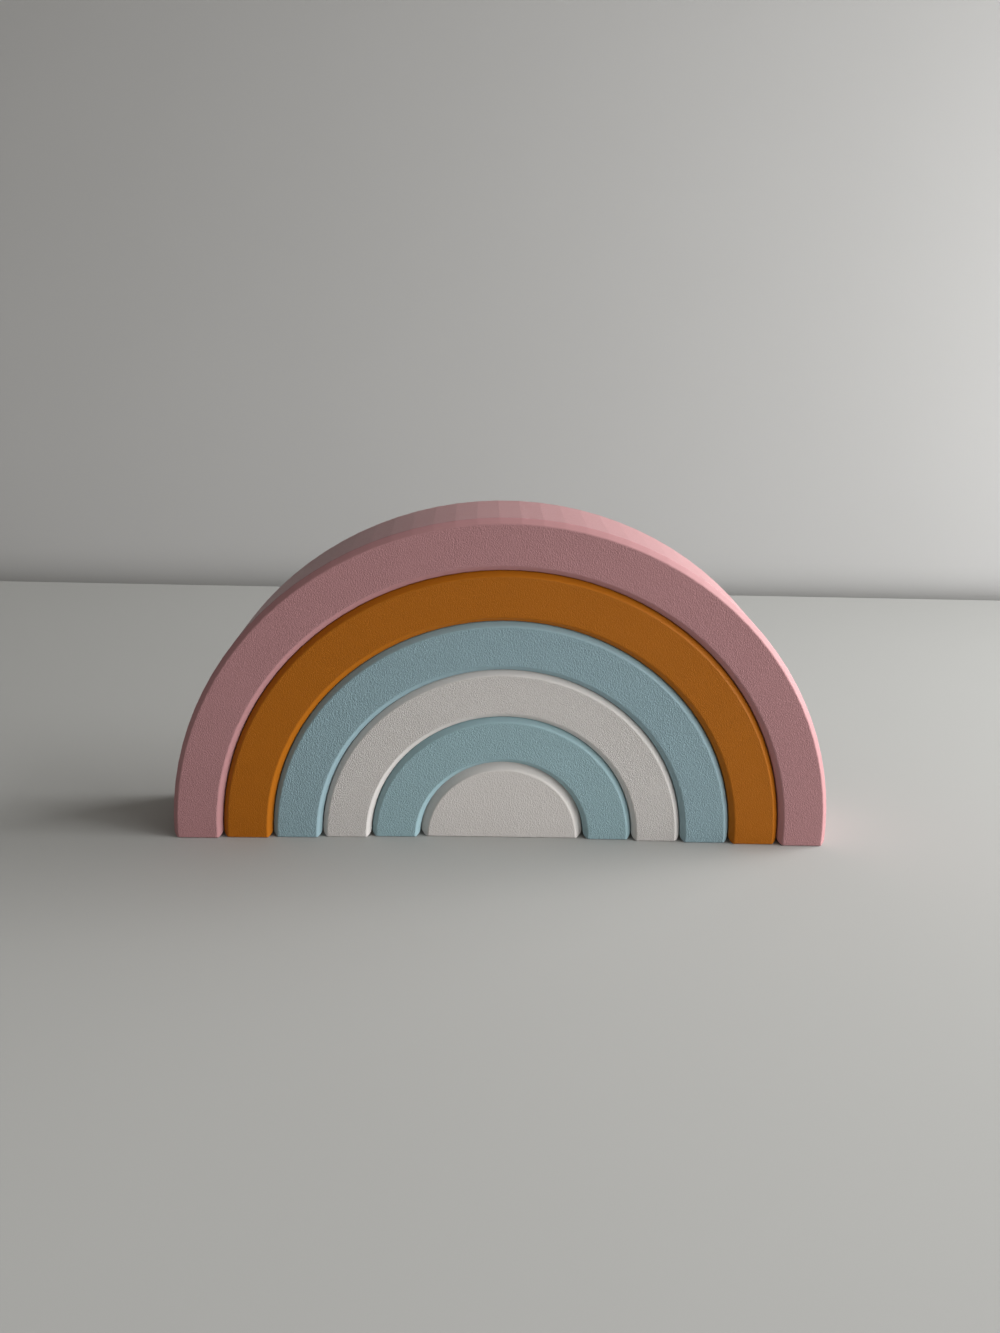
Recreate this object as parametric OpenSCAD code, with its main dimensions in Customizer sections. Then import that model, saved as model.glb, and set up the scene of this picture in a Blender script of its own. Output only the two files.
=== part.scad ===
// Rainbow stacker: five loose half-ring arches nested over a half-round core.
// All six pieces stand on their own feet on the table, with a small clearance between them.
// Sizes are in millimetres. X runs across the rainbow, Y from front to back and Z up.
// The origin is on the table, at the centre that all the arcs share.

/* [Nest] */
// Radius of the solid core
core_r = 25; // [15:0.5:40]
// Radial thickness of an arch
arch_t = 14.8; // [9:0.1:25]
// Clearance between each piece and the next one out
nest_gap = 0.2; // [0.1:0.05:1.5]
// Depth of every piece from front to back
depth = 30; // [15:1:60]
// How far each arch stands in front of the piece within it
step_out = 0.6; // [0:0.1:2]

/* [Edges] */
// Chamfer along the curved edges of an arch, front and back
arch_chamfer = 1.5; // [0.5:0.1:3]
// Chamfer along the curved edges of the core, front and back
core_chamfer = 2.3; // [0.5:0.1:4]
// Rounding of the foot corners that run from front to back
foot_r = 2.2; // [0.5:0.1:4]

/* [Hidden] */
$fn = 180;

// Inner radius of each arch, one clearance outside the piece within it
nest_step = arch_t + nest_gap;
small_blue_r = core_r + nest_gap;
cream_r = small_blue_r + nest_step;
large_blue_r = cream_r + nest_step;
mustard_r = large_blue_r + nest_step;
pink_r = mustard_r + nest_step;

// Middle of each piece from front to back, with the whole nest centred
core_y = 2.5 * step_out;
small_blue_y = core_y - step_out;
cream_y = small_blue_y - step_out;
large_blue_y = cream_y - step_out;
mustard_y = large_blue_y - step_out;
pink_y = mustard_y - step_out;

// Front and back faces of a piece, before it is set out
back_y = depth / 2;
front_y = -back_y;

// How far a cutter stands past what it cuts
over = 1;
// How far a rounding reaches past its arc, so that the two meet in one clean line
run_out = 0.01;

// Turns a section, drawn as radius and depth, half way round the Y axis
module half_turn() {
  rotate([90, 0, 0])
    rotate_extrude(angle = 180)
      children();
}

// Section of an arch: a block whose four corners are cut at 45 degrees
module arch_section(r_in, r_out) {
  c = arch_chamfer;
  polygon([
    [r_in + c, front_y],
    [r_out - c, front_y],
    [r_out, front_y + c],
    [r_out, back_y - c],
    [r_out - c, back_y],
    [r_in + c, back_y],
    [r_in, back_y - c],
    [r_in, front_y + c]
  ]);
}

// Half the section of the core, chamfered on its round side only
module core_section() {
  c = core_chamfer;
  polygon([
    [0, front_y],
    [core_r - c, front_y],
    [core_r, front_y + c],
    [core_r, back_y - c],
    [core_r - c, back_y],
    [0, back_y]
  ]);
}

// What the rounding takes off the corner between the table and an arc of radius r.
// side is 1 where the piece lies inside the arc, and -1 where it lies outside.
// The rounding starts on the table below its own centre and ends where it runs out of the arc.
module corner_waste(r, side) {
  centre_r = r - side * (foot_r - run_out);
  centre_x = sqrt(centre_r * centre_r - foot_r * foot_r);
  clear_r = r + side * over;
  rotate([90, 0, 0])
    linear_extrude(height = depth + 2 * over, center = true)
      difference() {
        polygon([
          [centre_x, foot_r],
          [centre_x, foot_r] * clear_r / centre_r,
          [clear_r, -over],
          [centre_x, -over]
        ]);
        translate([centre_x, foot_r])
          circle(r = foot_r);
      }
}

// The same cut on the left foot and on the right foot
module both_feet() {
  children();
  mirror([1, 0, 0])
    children();
}

// One arch, standing on two feet whose inner and outer corners are rounded
module arch(r_in, y) {
  r_out = r_in + arch_t;
  translate([0, y, 0])
    difference() {
      half_turn()
        arch_section(r_in, r_out);
      both_feet() {
        corner_waste(r_in, -1);
        corner_waste(r_out, 1);
      }
    }
}

module cream_core() {
  color("#d8d2c8")
    translate([0, core_y, 0])
      difference() {
        half_turn()
          core_section();
        both_feet()
          corner_waste(core_r, 1);
      }
}

module small_blue_arch() {
  color("#9ab7bc")
    arch(small_blue_r, small_blue_y);
}

module cream_arch() {
  color("#d6d0c9")
    arch(cream_r, cream_y);
}

module large_blue_arch() {
  color("#91aab4")
    arch(large_blue_r, large_blue_y);
}

module mustard_arch() {
  color("#b0691f")
    arch(mustard_r, mustard_y);
}

module pink_arch() {
  color("#c39193")
    arch(pink_r, pink_y);
}

cream_core();
small_blue_arch();
cream_arch();
large_blue_arch();
mustard_arch();
pink_arch();
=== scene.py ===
"""Rainbow stacker: five printed half-ring arches nested over a half-round core, on a plain stage."""

import math

import bpy
from mathutils import Matrix, Vector


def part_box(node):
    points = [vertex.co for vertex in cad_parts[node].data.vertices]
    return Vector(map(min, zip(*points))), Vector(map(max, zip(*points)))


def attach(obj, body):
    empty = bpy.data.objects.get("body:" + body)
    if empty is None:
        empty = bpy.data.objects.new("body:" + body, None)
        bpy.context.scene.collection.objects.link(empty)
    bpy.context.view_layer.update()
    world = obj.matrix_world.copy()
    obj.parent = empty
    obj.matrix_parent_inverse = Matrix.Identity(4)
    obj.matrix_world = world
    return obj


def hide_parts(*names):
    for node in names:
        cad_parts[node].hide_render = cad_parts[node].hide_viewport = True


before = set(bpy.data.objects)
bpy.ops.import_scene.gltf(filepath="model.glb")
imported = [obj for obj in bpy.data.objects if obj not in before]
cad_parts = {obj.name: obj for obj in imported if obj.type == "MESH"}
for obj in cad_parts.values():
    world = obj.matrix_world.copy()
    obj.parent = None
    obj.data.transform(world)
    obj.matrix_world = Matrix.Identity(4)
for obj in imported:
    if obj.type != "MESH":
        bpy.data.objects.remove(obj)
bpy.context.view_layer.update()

bl_info = {
    "name": "Rainbow Stacker",
    "version": (1, 0, 0),
    "blender": (4, 5, 0),
    "location": "View3D > Sidebar > Stacker",
    "description": "Builds a nesting rainbow of printed plastic arches, on a plain stage",
    "category": "Object",
}

MM = 0.001
PANEL_TAB = "Stacker"

# Points closer to a plane than the first lie in it, and points closer together than the second merge
IN_PLANE = 0.01 * MM
MERGE = 0.004 * MM
# How far a cutter stands past what it cuts, and the sides of the roller that shapes a rounded corner
OVER = 1.0 * MM
ROLLER_SIDES = 96
# Segments of the softened line on a sharp edge
SOFT_SEGMENTS = 3

# Node, body, material slot and strength of the bed's grain of each piece, from the inside out.
# The colour property has the slot's name.
PIECES = (
    ("cream_core", "core", "cream_core", 0.75),
    ("small_blue_arch", "small_blue", "small_blue", 1.4),
    ("cream_arch", "cream", "cream", 1.6),
    ("large_blue_arch", "large_blue", "large_blue", 1.35),
    ("mustard_arch", "mustard", "mustard", 0.9),
    ("pink_arch", "pink", "pink", 0.9),
)


def measure_nest():
    """Reads the sizes of the nest off the CAD nodes, in metres."""
    def points(node):
        return [v.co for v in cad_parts[node].data.vertices]

    def outer_radius(node):
        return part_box(node)[1].z

    def inner_radius(node):
        return min(math.hypot(p.x, p.z) for p in points(node))

    def chamfer(node):
        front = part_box(node)[0].y
        face = [math.hypot(p.x, p.z) for p in points(node) if p.y < front + IN_PLANE]
        return outer_radius(node) - max(face)

    low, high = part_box("pink_arch")
    radius = outer_radius("pink_arch")
    foot_end = max(abs(p.x) for p in points("pink_arch") if p.z < IN_PLANE)
    return {
        "core_radius": outer_radius("cream_core"),
        "arch_thickness": radius - inner_radius("pink_arch"),
        "clearance": inner_radius("small_blue_arch") - outer_radius("cream_core"),
        "depth": high.y - low.y,
        "step_out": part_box("mustard_arch")[0].y - low.y,
        "arch_chamfer": chamfer("pink_arch"),
        "core_chamfer": chamfer("cream_core"),
        "foot_radius": (radius ** 2 - foot_end ** 2) / (2 * radius),
    }


NEST = measure_nest()


def length(name, description, default):
    """A length property, in metres."""
    return bpy.props.FloatProperty(
        name=name, description=description, default=default, unit="LENGTH", subtype="DISTANCE",
        min=0.0, precision=5)


def power(name, description, default):
    """A lamp's power property, in watts."""
    return bpy.props.FloatProperty(
        name=name, description=description, default=default, unit="POWER", min=0.0)


def colour(name, description, default):
    """A colour property, in linear light."""
    return bpy.props.FloatVectorProperty(
        name=name, description=description, default=default, size=3, subtype="COLOR", min=0.0, max=1.0)


class StackerSizes(bpy.types.PropertyGroup):
    """Sizes of the nest, read off the CAD nodes, and of the printed edges."""

    core_radius: length("Core radius", "Radius of the half-round core", NEST["core_radius"])
    arch_thickness: length("Arch thickness", "Radial thickness of an arch", NEST["arch_thickness"])
    clearance: length("Clearance", "Gap between each piece and the next one out", NEST["clearance"])
    depth: length("Depth", "Depth of every piece from front to back", NEST["depth"])
    step_out: length(
        "Step", "How far each arch stands in front of the piece within it", NEST["step_out"])
    arch_chamfer: length(
        "Arch chamfer", "Chamfer along the curved edges of an arch", NEST["arch_chamfer"])
    core_chamfer: length(
        "Core chamfer", "Chamfer along the curved edges of the core", NEST["core_chamfer"])
    foot_radius: length("Foot rounding", "Rounding of the foot corners", NEST["foot_radius"])
    edge_radius: length("Edge softening", "Width of the softened line on each sharp edge", 0.28 * MM)
    sole_chamfer: length(
        "Sole chamfer", "Small chamfer where the feet's ends meet the table", 0.35 * MM)
    facets: bpy.props.IntProperty(
        name="Facets", description="Flat facets round each half circle", default=51, min=15, max=180)


class StackerColours(bpy.types.PropertyGroup):
    """Colour of each piece's plastic."""

    cream_core: colour("Core", "Off-white of the core", (0.645, 0.612, 0.590))
    small_blue: colour("Small blue", "Greenish blue of the smallest arch", (0.296, 0.432, 0.470))
    cream: colour("Cream", "Off-white of the cream arch", (0.618, 0.590, 0.570))
    large_blue: colour("Large blue", "Grey blue of the larger blue arch", (0.268, 0.384, 0.426))
    mustard: colour("Mustard", "Brownish orange of the mustard arch", (0.400, 0.124, 0.006))
    pink: colour("Pink", "Dusty pink of the outer arch", (0.415, 0.213, 0.221))


class StackerFinish(bpy.types.PropertyGroup):
    """The marks that printing leaves on the plastic."""

    grain_size: length(
        "Bed grain", "Size of one grain of the textured bed on the front face", 0.23 * MM)
    grain_height: length(
        "Bed grain height", "Height of the bed's grain on the front face", 0.29 * MM)
    layer_height: length("Layer height", "Thickness of one printed layer", 0.20 * MM)
    layer_depth: length("Layer groove", "Depth of the groove between two layers", 0.006 * MM)
    line_width: length("Line width", "Width of one printed line on the back face", 0.45 * MM)
    line_depth: length(
        "Line groove", "Depth of the groove between two lines on the back face", 0.03 * MM)


class StackerStage(bpy.types.PropertyGroup):
    """Floor, backdrop and light."""

    floor: colour("Floor", "Colour of the table top", (0.432, 0.434, 0.421))
    wall: colour("Wall", "Colour of the wall behind", (0.412, 0.410, 0.403))
    window_power: power("Window", "Power of the soft light on the right", 17.0)
    low_power: power("Low window", "Power of the soft light below it", 23.0)
    near_power: power("Near window", "Power of the low light close on the right", 1.0)
    fill_power: power("Fill", "Power of the weak light from the front", 1.4)
    room: colour("Room", "Colour of the light from all round", (0.190, 0.180, 0.166))


# Places of the colour sockets on a Mix node, and of two outputs on a Texture Coordinate node
MIX_FACTOR, MIX_FIRST, MIX_SECOND, MIX_RESULT = 0, 6, 7, 2
NORMAL_OUTPUT, OBJECT_OUTPUT = 1, 3


class Wire:
    """An output socket that Python arithmetic can be written on: each operation adds a Math node."""

    def __init__(self, socket):
        self.socket = socket

    def math(self, operation, *values):
        """A Math node on this value and others."""
        return add_node(
            self.socket.id_data, "ShaderNodeMath", {"operation": operation}, dict(enumerate(values)))[0]

    def __add__(self, other):
        return self.math("ADD", self, other)

    def __radd__(self, other):
        return self.math("ADD", other, self)

    def __sub__(self, other):
        return self.math("SUBTRACT", self, other)

    def __rsub__(self, other):
        return self.math("SUBTRACT", other, self)

    def __mul__(self, other):
        return self.math("MULTIPLY", self, other)

    def __rmul__(self, other):
        return self.math("MULTIPLY", other, self)

    def __truediv__(self, other):
        return self.math("DIVIDE", self, other)

    def __neg__(self):
        return self.math("MULTIPLY", self, -1.0)

    def __abs__(self):
        return self.math("ABSOLUTE", self)

    def sine(self):
        return self.math("SINE", self)

    def rise(self, low, high):
        """0 up to low, 1 from high, and a smooth rise between them."""
        return add_node(
            self.socket.id_data, "ShaderNodeMapRange", {"interpolation_type": "SMOOTHSTEP"},
            {"Value": self, "From Min": low, "From Max": high})[0]


def add_node(tree, kind, settings=None, inputs=None):
    """Adds a node, whose settings come before its sockets' values or links. Returns its outputs."""
    node = tree.nodes.new(kind)
    for name, value in (settings or {}).items():
        setattr(node, name, value)
    for key, value in (inputs or {}).items():
        if isinstance(value, Wire):
            tree.links.new(value.socket, node.inputs[key])
        else:
            node.inputs[key].default_value = value
    return [Wire(socket) for socket in node.outputs]


def new_material(name):
    """An empty node material, with its tree."""
    material = bpy.data.materials.new(name)
    material.use_nodes = True
    material.node_tree.nodes.clear()
    return material, material.node_tree


def tinted(base, gain):
    """A colour scaled in brightness, with the alpha that sockets ask for."""
    return tuple(min(1.0, channel * gain) for channel in base) + (1.0,)


def mix_colours(tree, factor, first, second):
    """Mixes two colours by a factor."""
    inputs = {MIX_FACTOR: factor, MIX_FIRST: first, MIX_SECOND: second}
    return add_node(tree, "ShaderNodeMix", {"data_type": "RGBA"}, inputs)[MIX_RESULT]


def vary(tree, factor, base, gains):
    """A colour whose brightness goes from one gain to another by a factor."""
    return mix_colours(tree, factor, tinted(base, gains[0]), tinted(base, gains[1]))


def noise(tree, place, size, detail):
    """Soft noise whose cells are about size metres across, from 0 to 1."""
    inputs = {"Vector": place, "Scale": 1.0 / size, "Detail": detail}
    return add_node(tree, "ShaderNodeTexNoise", None, inputs)[0]


# How squarely a face looks to the front or back: where a flat face begins, and where the curve ends
FLAT_FACE = (0.93, 0.99)
CURVE_END = (0.2, 0.6)
# How far the pattern moves on from each piece to the next, so that no two are alike
PATTERN_STEP = 0.31
# The bed's grain: its squeeze along each axis, the pits' size in grains, and what each gives
GRAIN_SQUEEZE = (1.0, 1.0, 0.55)
PIT_SIZE = 2.3
GRAIN_SHARE, PIT_SHARE = 0.8, 0.2
# Bands of uneven layers: their thickness in layers and their depth in grooves
BAND_LAYERS = 3.0
BAND_DEPTH = 3.0
# Uneven colour: sizes of the clouds and specks, what each gives, and the brightness of each face. The
# grained faces get a darker copy of the colour than the smooth walls, as painted shade for the grain
# shading itself.
CLOUD_SIZE, SPECK_SIZE = 14.0 * MM, 0.9 * MM
CLOUD_SHARE, SPECK_SHARE, BAND_SHARE, EVEN_SHARE = 0.55, 0.30, 0.25, 0.1
GRAIN_PAINTED_SHADE_GAINS = (0.95, 1.05)
SMOOTH_GAINS = (1.03, 1.13)
# Roughness of the walls, what the grain and the specks add to it, and the plastic's gloss
ROUGH, GRAIN_ROUGH, SPECK_ROUGH = 0.5, 0.1, 0.08
PLASTIC_GLOSS = 0.15
# The sheen of the smooth curved walls
SHEEN, SHEEN_ROUGH = 0.55, 0.45


def printed_plastic(slot, shift, grain_gain):
    """Matte printed plastic: bed grain in front, layer lines on the walls, drawn lines on the back."""
    finish = bpy.context.scene.stacker_finish
    base = tuple(getattr(bpy.context.scene.stacker_colours, slot))
    material, tree = new_material("printed_plastic_" + slot)
    here = add_node(tree, "ShaderNodeTexCoord")
    normal, place = here[NORMAL_OUTPUT], here[OBJECT_OUTPUT]
    own = add_node(
        tree, "ShaderNodeMapping", None, {"Vector": place, "Location": (shift, 0.0, shift)})[0]
    across, inwards, up = add_node(tree, "ShaderNodeSeparateXYZ", None, {0: place})
    _, facing, _ = add_node(tree, "ShaderNodeSeparateXYZ", None, {0: normal})
    on_front = (-facing).rise(*FLAT_FACE)
    on_back = facing.rise(*FLAT_FACE)
    on_wall = 1.0 - on_front - on_back
    on_curve = 1.0 - abs(facing).rise(*CURVE_END)

    upright = add_node(tree, "ShaderNodeMapping", None, {"Vector": own, "Scale": GRAIN_SQUEEZE})[0]
    grain = noise(tree, upright, finish.grain_size, detail=1.0)
    pits = noise(tree, upright, finish.grain_size * PIT_SIZE, detail=1.0)
    front_height = (grain * GRAIN_SHARE + pits * PIT_SHARE) * (finish.grain_height * grain_gain)

    layer_wave = (inwards / finish.layer_height * math.pi).sine()
    band = add_node(
        tree, "ShaderNodeTexNoise", {"noise_dimensions": "1D"},
        {"W": inwards * (1.0 / (BAND_LAYERS * finish.layer_height)), "Scale": 1.0, "Detail": 2.0})[0]
    wall_height = abs(layer_wave) * finish.layer_depth + band * (BAND_DEPTH * finish.layer_depth)

    # The lines of the last layer run at 45 degrees
    slanted = (across + up) * (math.sqrt(0.5) / finish.line_width)
    line_wave = (slanted * math.pi).sine()
    back_height = abs(line_wave) * finish.line_depth

    height = front_height * on_front + wall_height * on_wall + back_height * on_back
    bump = add_node(
        tree, "ShaderNodeBump", None, {"Strength": 1.0, "Distance": 1.0, "Height": height})[0]

    cloud = noise(tree, own, CLOUD_SIZE, detail=3.0)
    speck = noise(tree, own, SPECK_SIZE, detail=2.0)
    shade = (cloud * CLOUD_SHARE + speck * SPECK_SHARE * on_front + band * BAND_SHARE * on_wall
             + EVEN_SHARE)
    # Painted shade: the grained front and back faces take a darker copy of the colour than the smooth
    # walls and chamfers
    grain_painted_shade = vary(tree, shade, base, GRAIN_PAINTED_SHADE_GAINS)
    smooth = vary(tree, shade, base, SMOOTH_GAINS)
    body_colour_with_painted_shade = mix_colours(tree, on_wall, grain_painted_shade, smooth)
    rough = ROUGH + GRAIN_ROUGH * on_front + SPECK_ROUGH * (speck - 0.5)
    shader = add_node(
        tree, "ShaderNodeBsdfPrincipled", None,
        {"Base Color": body_colour_with_painted_shade, "Roughness": rough, "Specular IOR Level": PLASTIC_GLOSS,
         "Coat Weight": on_curve * SHEEN, "Coat Roughness": SHEEN_ROUGH, "Normal": bump})[0]
    add_node(tree, "ShaderNodeOutputMaterial", None, {"Surface": shader})
    return material


def deselect_all():
    """Leaves edit mode and selects nothing."""
    if bpy.context.object and bpy.context.object.mode != "OBJECT":
        bpy.ops.object.mode_set(mode="OBJECT")
    bpy.ops.object.select_all(action="DESELECT")


def make_active(piece):
    """Selects one object and nothing else."""
    deselect_all()
    piece.select_set(True)
    bpy.context.view_layer.objects.active = piece


def apply_place():
    """Puts the active object's place, turn and scale into its mesh."""
    bpy.ops.object.transform_apply(location=True, rotation=True, scale=True)


def edit_all():
    """Goes into edit mode with the whole mesh selected."""
    bpy.ops.object.mode_set(mode="EDIT")
    bpy.ops.mesh.select_all(action="SELECT")


def section_plane(name, r_in, r_out, depth):
    """Adds a flat block of the section, lying in the table's plane on the right of the arc's centre."""
    deselect_all()
    bpy.ops.mesh.primitive_plane_add(size=1.0, location=((r_in + r_out) / 2, 0.0, 0.0))
    piece = bpy.context.object
    piece.name = name
    piece.data.name = name
    piece.scale = (r_out - r_in, depth, 1.0)
    apply_place()
    return piece


def edit_where(piece, inside, mode):
    """Goes into edit mode with what lies wholly among the points that inside() accepts selected."""
    mesh = piece.data
    for vertex in mesh.vertices:
        vertex.select = inside(vertex.co)
    for part in (*mesh.edges, *mesh.polygons):
        part.select = all(mesh.vertices[i].select for i in part.vertices)
    bpy.ops.object.mode_set(mode="EDIT")
    bpy.ops.mesh.select_mode(type=mode)


def bevel_corners(piece, width, segments, beyond):
    """Bevels the section's corners that lie further from the centre than beyond."""
    edit_where(piece, lambda point: point.x > beyond, "VERT")
    bpy.ops.mesh.bevel(offset=width, segments=segments, affect="VERTICES")
    bpy.ops.object.mode_set(mode="OBJECT")


def chamfer_section(piece, chamfer, softening, beyond):
    """Chamfers the section's corners beyond a radius, and softens the edges that this leaves."""
    bevel_corners(piece, chamfer, segments=1, beyond=beyond)
    bevel_corners(piece, softening, segments=SOFT_SEGMENTS, beyond=beyond)


def half_turn(facets):
    """Spins the active section half way round, from the right foot over the top to the left foot."""
    edit_all()
    bpy.ops.mesh.spin(steps=facets, angle=math.pi, center=(0.0, 0.0, 0.0), axis=(0.0, 1.0, 0.0))
    clean_mesh()


def clean_mesh():
    """Merges doubles, drops slivers and points all faces outwards, then leaves edit mode."""
    bpy.ops.mesh.select_all(action="SELECT")
    bpy.ops.mesh.remove_doubles(threshold=MERGE)
    bpy.ops.mesh.dissolve_degenerate(threshold=MERGE)
    bpy.ops.mesh.select_all(action="SELECT")
    bpy.ops.mesh.normals_make_consistent(inside=False)
    bpy.ops.object.mode_set(mode="OBJECT")


def subtract(piece, cutter):
    """Takes the cutter's volume off the piece and removes the cutter."""
    make_active(piece)
    cut = piece.modifiers.new("cut", "BOOLEAN")
    cut.operation = "DIFFERENCE"
    cut.solver = "EXACT"
    cut.object = cutter
    bpy.ops.object.modifier_apply(modifier=cut.name)
    bpy.data.objects.remove(cutter)


def corner_cutter(radius, side, sizes):
    """The waste outside a foot's rounded corner, at the right end of an arc of the given radius.

    side is 1 where the piece lies inside the arc and -1 where it lies outside it.
    The rounding is tangent to the table and to the facet that it runs out on.
    """
    foot = sizes.foot_radius
    half_facet = math.pi / (2 * sizes.facets)
    foot_angle = math.asin(foot / (radius - side * foot))
    tilt = half_facet * (2 * math.floor(foot_angle / (2 * half_facet)) + 1)
    centre = (radius * math.cos(half_facet) - side * foot - foot * math.sin(tilt)) / math.cos(tilt)
    top = foot * (1 + side * math.sin(tilt))
    far = radius + side * OVER
    deselect_all()
    bpy.ops.mesh.primitive_cube_add(size=1.0, location=((centre + far) / 2, 0.0, (top - OVER) / 2))
    block = bpy.context.object
    block.scale = (abs(far - centre), sizes.depth + 2 * OVER, top + OVER)
    apply_place()
    bpy.ops.mesh.primitive_cylinder_add(
        vertices=ROLLER_SIDES, radius=foot, depth=sizes.depth + 4 * OVER,
        location=(centre, 0.0, foot), rotation=(math.pi / 2, 0.0, 0.0))
    roller = bpy.context.object
    apply_place()
    subtract(block, roller)
    return block


def sole_cutter(reach, sizes):
    """The waste below the small chamfer along the soles' front end: a long bar stood on its edge."""
    deselect_all()
    bpy.ops.mesh.primitive_cube_add(
        size=1.0, location=(0.0, -sizes.depth / 2, 0.0), rotation=(math.pi / 4, 0.0, 0.0))
    bar = bpy.context.object
    side = sizes.sole_chamfer * math.sqrt(2)
    bar.scale = (2 * reach, side, side)
    apply_place()
    return bar


def add_mirror_image(cutter, across, inwards):
    """Adds the cutter's mirror image on the other foot, or at the back end."""
    mirror = cutter.modifiers.new("mirror", "MIRROR")
    mirror.use_axis = (across, inwards, False)
    mirror.use_mirror_merge = False
    make_active(cutter)
    bpy.ops.object.modifier_apply(modifier=mirror.name)


def round_feet(piece, arcs, sizes):
    """Rounds the corners of both feet that run from front to back, and chamfers the ends of the soles.

    arcs lists each arc's radius and side.
    """
    for radius, side in arcs:
        cutter = corner_cutter(radius, side, sizes)
        add_mirror_image(cutter, across=True, inwards=False)
        subtract(piece, cutter)
    bar = sole_cutter(max(radius for radius, _ in arcs) + OVER, sizes)
    add_mirror_image(bar, across=False, inwards=True)
    subtract(piece, bar)
    make_active(piece)
    edit_all()
    clean_mesh()


def hand_over(piece, number, step_out):
    """Sets a finished piece out, gives it its plastic, and puts it in place of its CAD node."""
    node, body, slot, grain_gain = PIECES[number]
    make_active(piece)
    piece.location.y = ((len(PIECES) - 1) / 2 - number) * step_out
    apply_place()
    bpy.ops.object.shade_flat()
    piece.data.materials.append(printed_plastic(slot, number * PATTERN_STEP, grain_gain))
    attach(piece, body)
    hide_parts(node)


class STACKER_OT_core(bpy.types.Operator):
    """Model the half-round core"""

    bl_idname = "stacker.core"
    bl_label = "Core"

    def execute(self, context):
        sizes = context.scene.stacker_sizes
        piece = section_plane("core_form", 0.0, sizes.core_radius, sizes.depth)
        chamfer_section(piece, sizes.core_chamfer, sizes.edge_radius, sizes.core_radius / 2)
        half_turn(sizes.facets)
        round_feet(piece, ((sizes.core_radius, 1),), sizes)
        hand_over(piece, 0, sizes.step_out)
        return {"FINISHED"}


class STACKER_OT_arches(bpy.types.Operator):
    """Model the five arches, each one clearance outside the piece within it"""

    bl_idname = "stacker.arches"
    bl_label = "Arches"

    def execute(self, context):
        sizes = context.scene.stacker_sizes
        r_out = sizes.core_radius
        for number in range(1, len(PIECES)):
            r_in = r_out + sizes.clearance
            r_out = r_in + sizes.arch_thickness
            piece = section_plane(PIECES[number][0] + "_form", r_in, r_out, sizes.depth)
            chamfer_section(piece, sizes.arch_chamfer, sizes.edge_radius, 0.0)
            half_turn(sizes.facets)
            round_feet(piece, ((r_in, -1), (r_out, 1)), sizes)
            hand_over(piece, number, sizes.step_out)
        return {"FINISHED"}


# Roughness of the stage, and the size and brightness of its faint mottling
STAGE_ROUGH = 0.6
MOTTLE_SIZE = 0.12
MOTTLE_GAINS = (0.985, 1.015)
# The table and the wall, in metres. One width serves both.
STAGE_WIDTH = 6.0
TABLE_BACK, TABLE_DEPTH, TABLE_DROP = 0.28, 3.0, 0.3
WALL_LEAN, WALL_HEIGHT = math.radians(35.0), 0.95
WALL_FOOT_Y, WALL_FOOT_Z = 0.38, -0.05
WALL_SOLE, WALL_ROUNDING, WALL_SEGMENTS = 0.3, 0.05, 16
# How close to an edge of the stage a point counts as being on it
ON_EDGE = 1.0 * MM
# Name, place, aim, width, height and spread in degrees of each lamp, and the property of its power
LAMPS = (
    ("window", (1.2, 0.0, 0.85), (0.0, 0.0, 0.85), 1.0, 0.5, 180.0, "window_power"),
    ("low_window", (1.2, -0.45, 0.30), (0.0, -0.45, 0.30), 1.5, 0.56, 180.0, "low_power"),
    ("near_window", (0.6, 0.12, 0.25), (0.0, -0.12, 0.1), 0.4, 0.46, 100.0, "near_power"),
    ("fill", (0.5, -1.4, 0.4), (0.0, 0.0, 0.05), 1.2, 0.8, 180.0, "fill_power"),
)
# The camera: its place in metres, its turns in degrees, and its lens in pixels of a picture 1333 high
CAMERA_PLACE = (-8.8 * MM, -288.5 * MM, 152.3 * MM)
CAMERA_YAW, CAMERA_PITCH, CAMERA_ROLL = 1.443, 19.303, 1.491
CAMERA_FOCUS, PICTURE_HEIGHT = 1003.0, 1333.0
SENSOR = 36.0
CLIP_START = 0.01


def stage_material(name, base, gloss):
    """A plain pale surface with faint mottling."""
    material, tree = new_material(name)
    place = add_node(tree, "ShaderNodeTexCoord")[OBJECT_OUTPUT]
    cloud = noise(tree, place, MOTTLE_SIZE, detail=2.0)
    tone = vary(tree, cloud, base, MOTTLE_GAINS)
    shader = add_node(
        tree, "ShaderNodeBsdfPrincipled", None,
        {"Base Color": tone, "Roughness": STAGE_ROUGH, "Specular IOR Level": gloss})[0]
    add_node(tree, "ShaderNodeOutputMaterial", None, {"Surface": shader})
    return material


def table_top():
    """The table: a plain sheet that drops away behind the stacker."""
    deselect_all()
    bpy.ops.mesh.primitive_plane_add(size=1.0, location=(0.0, TABLE_BACK - TABLE_DEPTH / 2, 0.0))
    sheet = bpy.context.object
    sheet.name = "floor"
    sheet.scale = (STAGE_WIDTH, TABLE_DEPTH, 1.0)
    apply_place()
    edit_where(sheet, lambda point: point.y > TABLE_BACK - ON_EDGE, "EDGE")
    bpy.ops.mesh.extrude_edges_move(TRANSFORM_OT_translate={"value": (0.0, 0.0, -TABLE_DROP)})
    edit_all()
    bpy.ops.mesh.normals_make_consistent(inside=False)
    bpy.ops.object.mode_set(mode="OBJECT")
    return sheet


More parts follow.
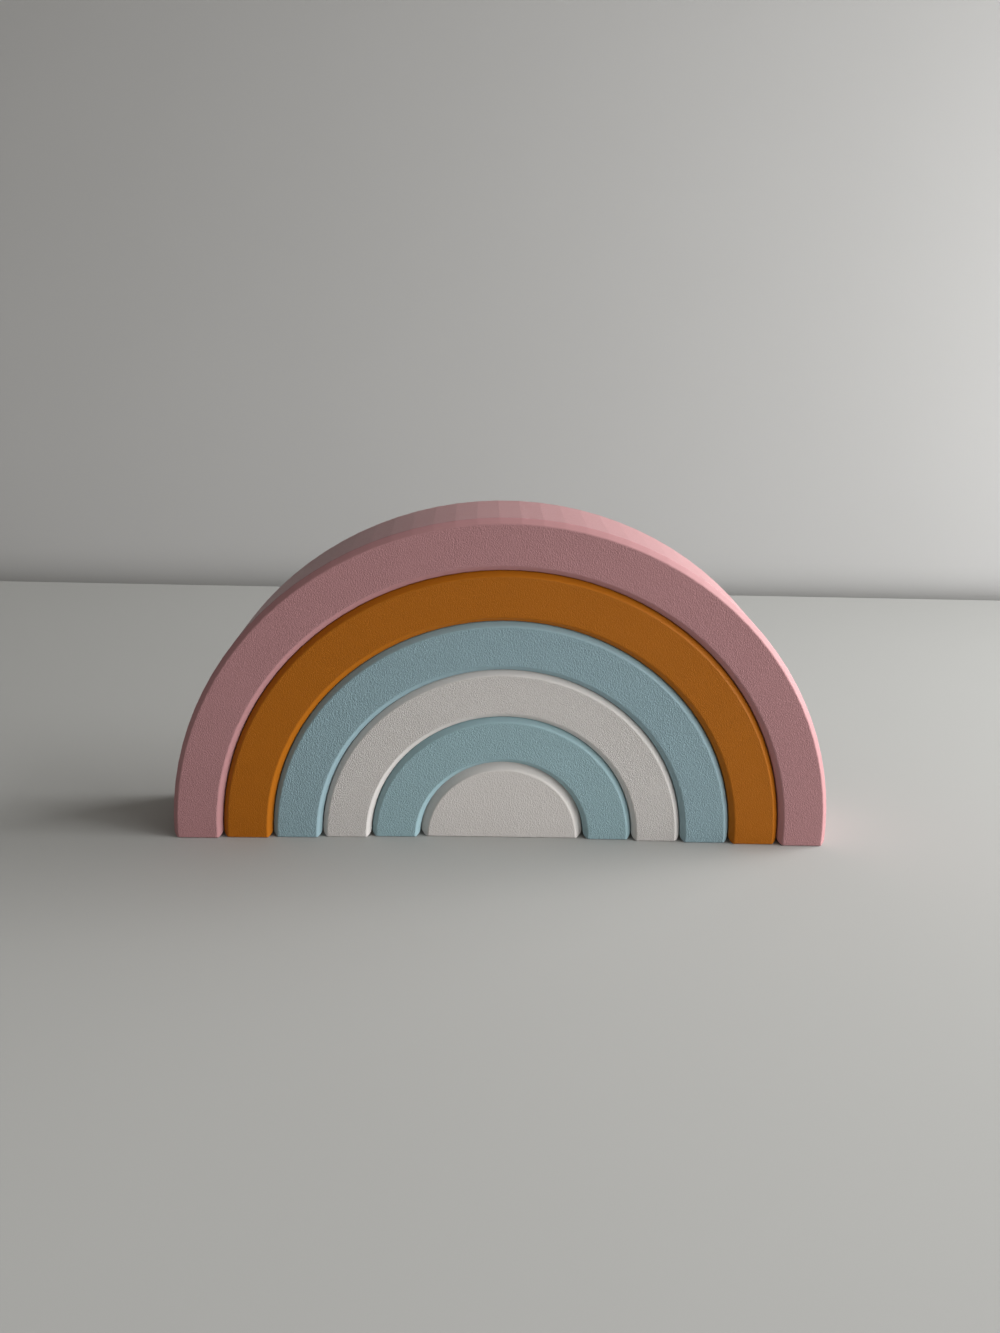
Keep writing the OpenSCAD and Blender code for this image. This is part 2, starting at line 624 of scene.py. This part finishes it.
def backdrop():
    """The wall: a plain sheet behind the table, leaning away, with a rounded foot."""
    middle = (0.0, WALL_FOOT_Y + WALL_HEIGHT / 2 * math.sin(WALL_LEAN),
              WALL_FOOT_Z + WALL_HEIGHT / 2 * math.cos(WALL_LEAN))
    deselect_all()
    bpy.ops.mesh.primitive_plane_add(
        size=1.0, location=middle, rotation=(math.pi / 2 - WALL_LEAN, 0.0, 0.0))
    sheet = bpy.context.object
    sheet.name = "backdrop"
    sheet.scale = (STAGE_WIDTH, WALL_HEIGHT, 1.0)
    apply_place()
    front = min(vertex.co.y for vertex in sheet.data.vertices)
    edit_where(sheet, lambda point: point.y < front + ON_EDGE, "EDGE")
    bpy.ops.mesh.extrude_edges_move(TRANSFORM_OT_translate={"value": (0.0, WALL_SOLE, 0.0)})
    bpy.ops.object.mode_set(mode="OBJECT")
    edit_where(sheet, lambda point: point.y < front + ON_EDGE, "EDGE")
    bpy.ops.mesh.bevel(offset=WALL_ROUNDING, segments=WALL_SEGMENTS, affect="EDGES")
    bpy.ops.object.mode_set(mode="OBJECT")
    bpy.ops.object.shade_smooth()
    return sheet


def area_lamp(name, place, aim, width, height, spread, watts):
    """Adds a soft rectangular lamp that faces a point."""
    deselect_all()
    bpy.ops.object.light_add(type="AREA", location=place)
    lamp = bpy.context.object
    lamp.name = name
    lamp.rotation_euler = (Vector(aim) - Vector(place)).to_track_quat("-Z", "Y").to_euler()
    lamp.data.shape = "RECTANGLE"
    lamp.data.size = width
    lamp.data.size_y = height
    lamp.data.spread = math.radians(spread)
    lamp.data.energy = watts


def room_light(scene, tone):
    """Even light from all round."""
    world = bpy.data.worlds.new("room")
    world.use_nodes = True
    scene.world = world
    world.node_tree.nodes["Background"].inputs["Color"].default_value = (*tone, 1.0)


def view_camera(scene):
    """The camera in front of the stacker, looking a little down."""
    deselect_all()
    bpy.ops.object.camera_add(location=CAMERA_PLACE)
    camera = bpy.context.object
    camera.name = "camera"
    camera.data.lens = CAMERA_FOCUS / PICTURE_HEIGHT * SENSOR
    camera.data.sensor_width = SENSOR
    camera.data.clip_start = CLIP_START
    yaw, pitch, roll = (math.radians(angle) for angle in (CAMERA_YAW, CAMERA_PITCH, CAMERA_ROLL))
    turn = Matrix.Rotation(-yaw, 3, "Z") @ Matrix.Rotation(math.pi / 2 - pitch, 3, "X")
    camera.rotation_euler = (turn @ Matrix.Rotation(roll, 3, "Z")).to_euler()
    scene.camera = camera


class STACKER_OT_stage(bpy.types.Operator):
    """Set up the floor, the wall, the light and the camera"""

    bl_idname = "stacker.stage"
    bl_label = "Stage"

    def execute(self, context):
        stage = context.scene.stacker_stage
        floor = table_top()
        floor.data.materials.append(stage_material("pale_floor", tuple(stage.floor), gloss=0.0))
        wall = backdrop()
        wall.data.materials.append(stage_material("pale_wall", tuple(stage.wall), gloss=0.5))
        for *lamp, power_name in LAMPS:
            area_lamp(*lamp, getattr(stage, power_name))
        room_light(context.scene, stage.room)
        view_camera(context.scene)
        context.scene.view_settings.view_transform = "Standard"
        return {"FINISHED"}


class STACKER_PT_panel(bpy.types.Panel):
    """Lists the stacker's sizes, colours and building steps"""

    bl_idname = "STACKER_PT_panel"
    bl_label = "Rainbow Stacker"
    bl_space_type = "VIEW_3D"
    bl_region_type = "UI"
    bl_category = PANEL_TAB

    def draw(self, context):
        for name, _ in SETTINGS:
            group = getattr(context.scene, name)
            box = self.layout.box()
            for key in group.__annotations__:
                box.prop(group, key)
        for operator in OPERATORS:
            self.layout.operator(operator.bl_idname)


SETTINGS = (
    ("stacker_sizes", StackerSizes),
    ("stacker_colours", StackerColours),
    ("stacker_finish", StackerFinish),
    ("stacker_stage", StackerStage),
)
OPERATORS = (STACKER_OT_core, STACKER_OT_arches, STACKER_OT_stage)
CLASSES = tuple(group for _, group in SETTINGS) + OPERATORS + (STACKER_PT_panel,)


def register():
    """Adds the classes, and the settings to the scene."""
    for item in CLASSES:
        bpy.utils.register_class(item)
    for name, group in SETTINGS:
        setattr(bpy.types.Scene, name, bpy.props.PointerProperty(type=group))


def unregister():
    """Takes the settings off the scene, and the classes out."""
    for name, _ in SETTINGS:
        delattr(bpy.types.Scene, name)
    for item in reversed(CLASSES):
        bpy.utils.unregister_class(item)


def main():
    """Builds the stacker and its stage."""
    register()
    bpy.ops.stacker.core()
    bpy.ops.stacker.arches()
    bpy.ops.stacker.stage()


if __name__ == "__main__":
    main()
